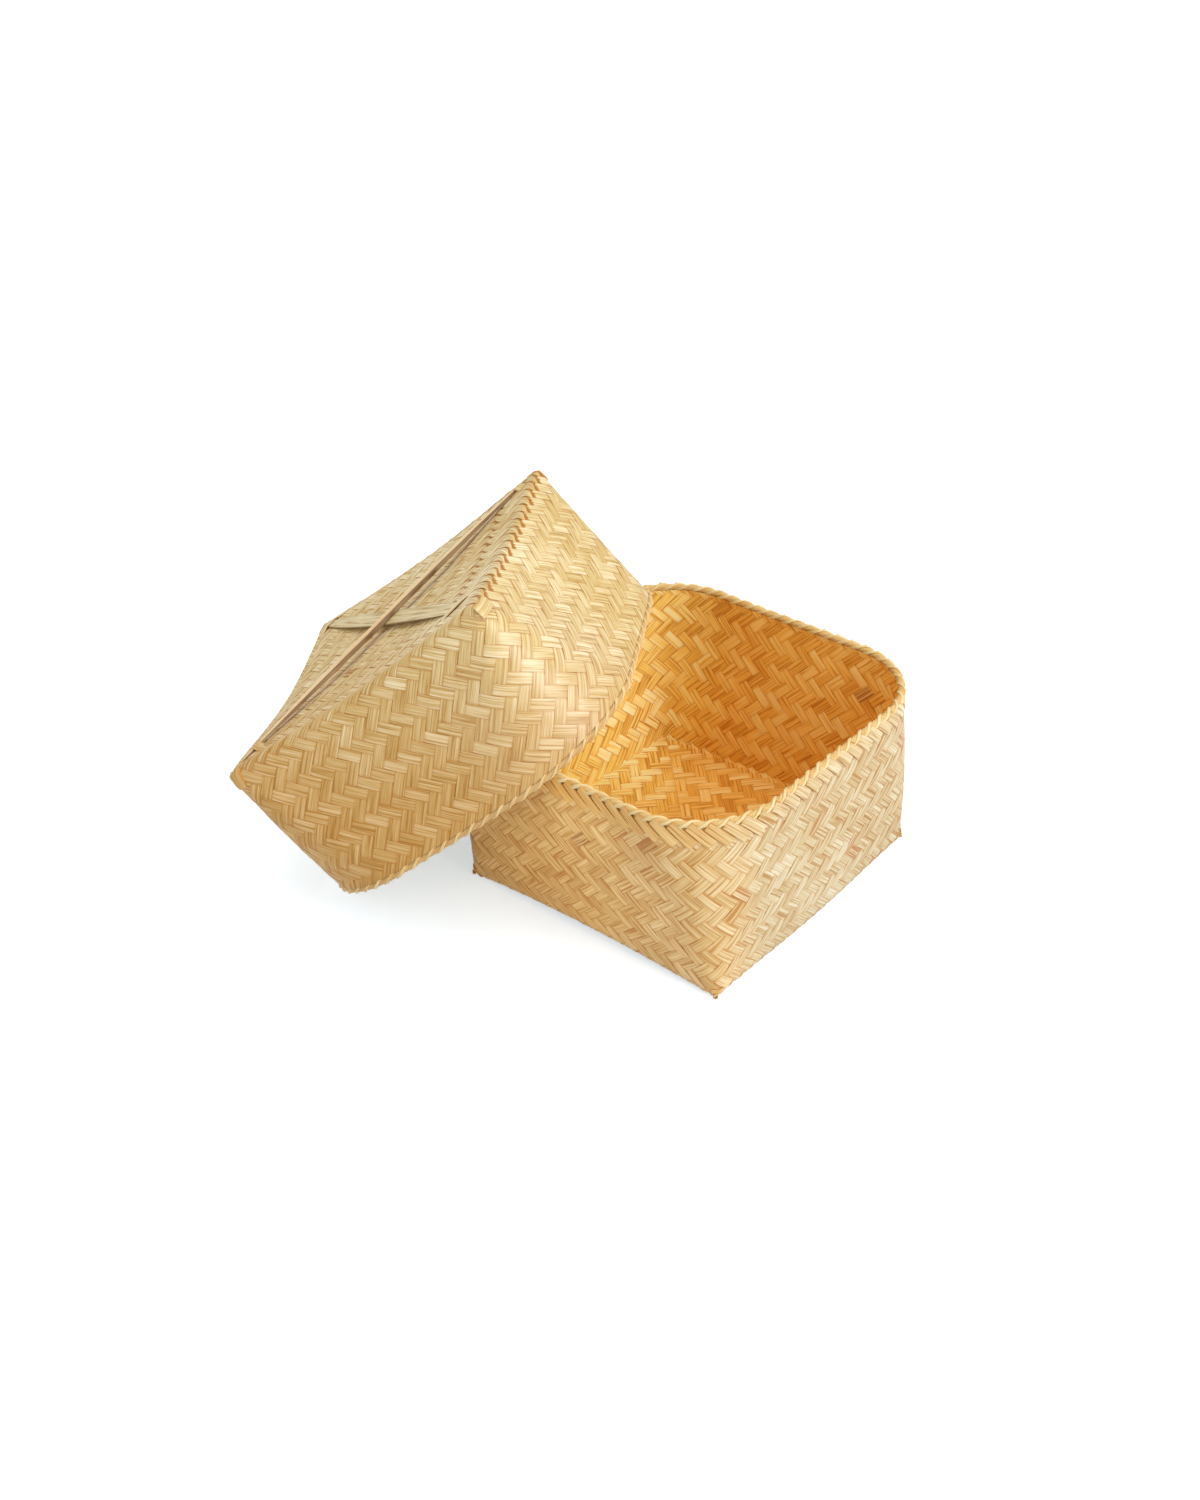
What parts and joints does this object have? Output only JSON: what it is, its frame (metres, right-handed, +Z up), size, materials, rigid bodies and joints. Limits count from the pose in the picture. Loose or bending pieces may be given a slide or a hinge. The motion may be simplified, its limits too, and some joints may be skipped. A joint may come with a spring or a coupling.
{
  "type": "bamboo storage box",
  "caption": "Square plaited bamboo box with pointed floor corners, a rounded roped rim and a loose lid that leans on it.",
  "frame": {"origin": "centre of the box's underside, on the surface that it stands on", "axes": "+Z up out of the box's mouth; the box's sides run along X and Y; the lid lies on the -X side, its mouth facing +X and down"},
  "size_m": [0.3274, 0.2627, 0.1823],
  "materials": {
    "bamboo_outside": "satin",
    "bamboo_lid_outside": "satin",
    "bamboo_inside": "satin",
    "bamboo_strips": "satin",
    "bamboo_rope": "satin",
    "bamboo_splint": "satin"
  },
  "bodies": {
    "base": {"base_corner_tip_1": "bamboo_strips", "base_corner_tip_2": "bamboo_strips", "base_corner_tip_3": "bamboo_strips", "base_corner_tip_4": "bamboo_strips", "base_lining": "bamboo_inside", "base_outer_wall": "bamboo_outside", "base_rim_folds": "bamboo_strips", "base_rim_rope": "bamboo_rope"},
    "lid": {"lid_corner_tip_1": "bamboo_strips", "lid_corner_tip_2": "bamboo_strips", "lid_corner_tip_3": "bamboo_strips", "lid_corner_tip_4": "bamboo_strips", "lid_cross_keeper_a": "bamboo_strips", "lid_cross_keeper_b": "bamboo_strips", "lid_cross_splint": "bamboo_strips", "lid_lining": "bamboo_inside", "lid_long_keeper_a": "bamboo_strips", "lid_long_keeper_b": "bamboo_strips", "lid_long_splint": "bamboo_splint", "lid_outer_wall": "bamboo_lid_outside", "lid_rim_folds": "bamboo_strips", "lid_rim_rope": "bamboo_rope"}
  },
  "joints": [
    {"name": "lid_lift", "type": "slide", "parent": "base", "child": "lid", "axis": [0, 0, 1], "range_m": [0, 0.16]}
  ]
}
